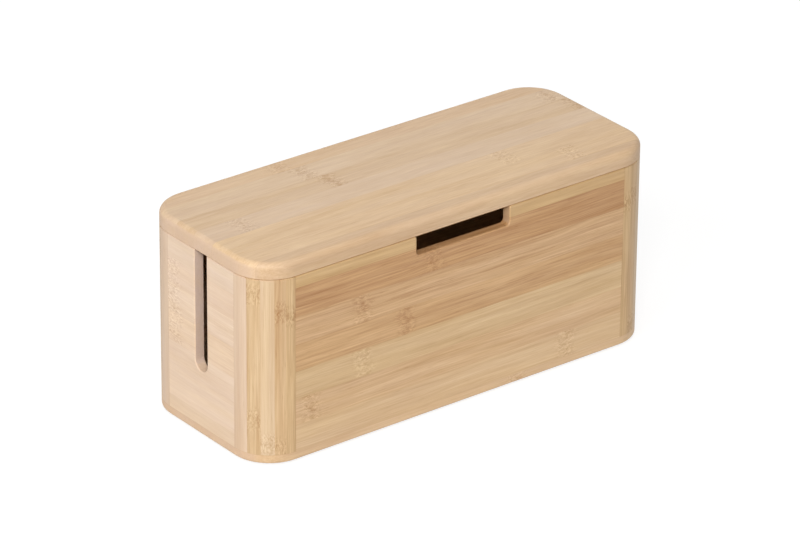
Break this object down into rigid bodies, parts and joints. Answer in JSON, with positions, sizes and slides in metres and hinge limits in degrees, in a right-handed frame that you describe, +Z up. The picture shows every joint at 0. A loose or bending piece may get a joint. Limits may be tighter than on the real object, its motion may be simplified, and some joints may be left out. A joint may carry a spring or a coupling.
{
  "type": "cable management box",
  "caption": "Rounded bamboo box with a lift-off lid, end slots and a front notch for cables, that hides a power strip.",
  "frame": {"origin": "under the middle of the box, on the surface that the feet stand on", "axes": "+Z up; X along the length, so the slotted ends face -X and +X; the notched front faces -Y"},
  "size_m": [0.32, 0.1254, 0.1412],
  "materials": {
    "bamboo_lid": "satin lacquer",
    "bamboo_wall": "satin lacquer",
    "bamboo_end": "satin lacquer",
    "bamboo_post": "satin lacquer",
    "bamboo_base": "satin lacquer",
    "peg_wood": "smooth turned",
    "screw_steel": "zinc plated",
    "foot_rubber": "matte"
  },
  "bodies": {
    "box": {"base_board": "bamboo_base", "front_panel": "bamboo_wall", "back_panel": "bamboo_wall", "left_end_panel": "bamboo_end", "right_end_panel": "bamboo_end", "corner_post_front_left": "bamboo_post", "corner_post_front_right": "bamboo_post", "corner_post_back_right": "bamboo_post", "corner_post_back_left": "bamboo_post", "foot_front_left": "foot_rubber", "foot_front_right": "foot_rubber", "foot_back_left": "foot_rubber", "foot_back_right": "foot_rubber", "base_screw_front_1": "screw_steel", "base_screw_front_2": "screw_steel", "base_screw_front_3": "screw_steel", "base_screw_back_1": "screw_steel", "base_screw_back_2": "screw_steel", "base_screw_back_3": "screw_steel", "base_screw_left_1": "screw_steel", "base_screw_left_2": "screw_steel", "base_screw_right_1": "screw_steel", "base_screw_right_2": "screw_steel"},
    "lid": {"lid_board": "bamboo_lid", "lid_peg_front_left": "peg_wood", "lid_peg_front_right": "peg_wood", "lid_peg_back_left": "peg_wood", "lid_peg_back_right": "peg_wood"}
  },
  "joints": [
    {"name": "lid_lift", "type": "slide", "parent": "box", "child": "lid", "axis": [0, 0, 1], "range_m": [0, 0.12]}
  ]
}
